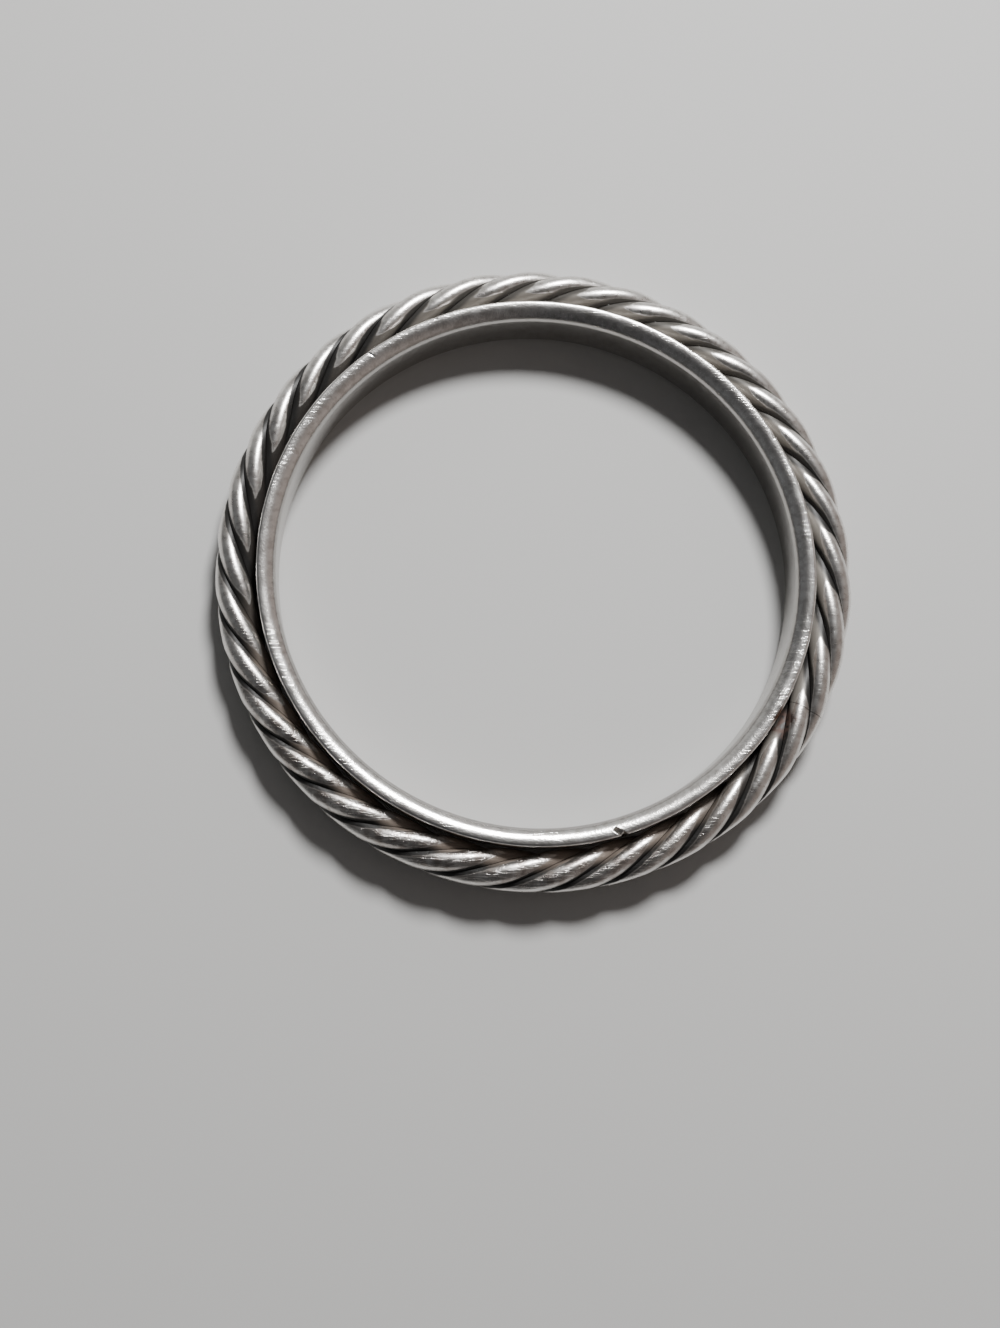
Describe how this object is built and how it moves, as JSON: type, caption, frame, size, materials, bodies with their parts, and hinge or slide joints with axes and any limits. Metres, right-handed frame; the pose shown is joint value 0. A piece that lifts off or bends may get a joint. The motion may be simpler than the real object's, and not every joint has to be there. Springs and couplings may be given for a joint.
{
  "type": "rope twist band ring",
  "caption": "Slim silver finger ring: a smooth comfort-edged inner band with a rope of twisted wire strands laid round its outside and soldered down.",
  "frame": {"origin": "on the axis of the finger hole, at the level of the surface the ring lies on", "axes": "+Z along the axis of the finger hole and up from the surface, X and Y across the ring"},
  "size_m": [0.0224, 0.0224, 0.0023],
  "materials": {
    "polished_silver": "worn satin silver with fine scratches",
    "oxidised_silver": "worn silver, bright on the crests and blackened in the grooves"
  },
  "bodies": {
    "root": {"band": "polished_silver", "strand_1": "oxidised_silver", "strand_2": "oxidised_silver", "strand_3": "oxidised_silver", "strand_4": "oxidised_silver"}
  },
  "joints": []
}
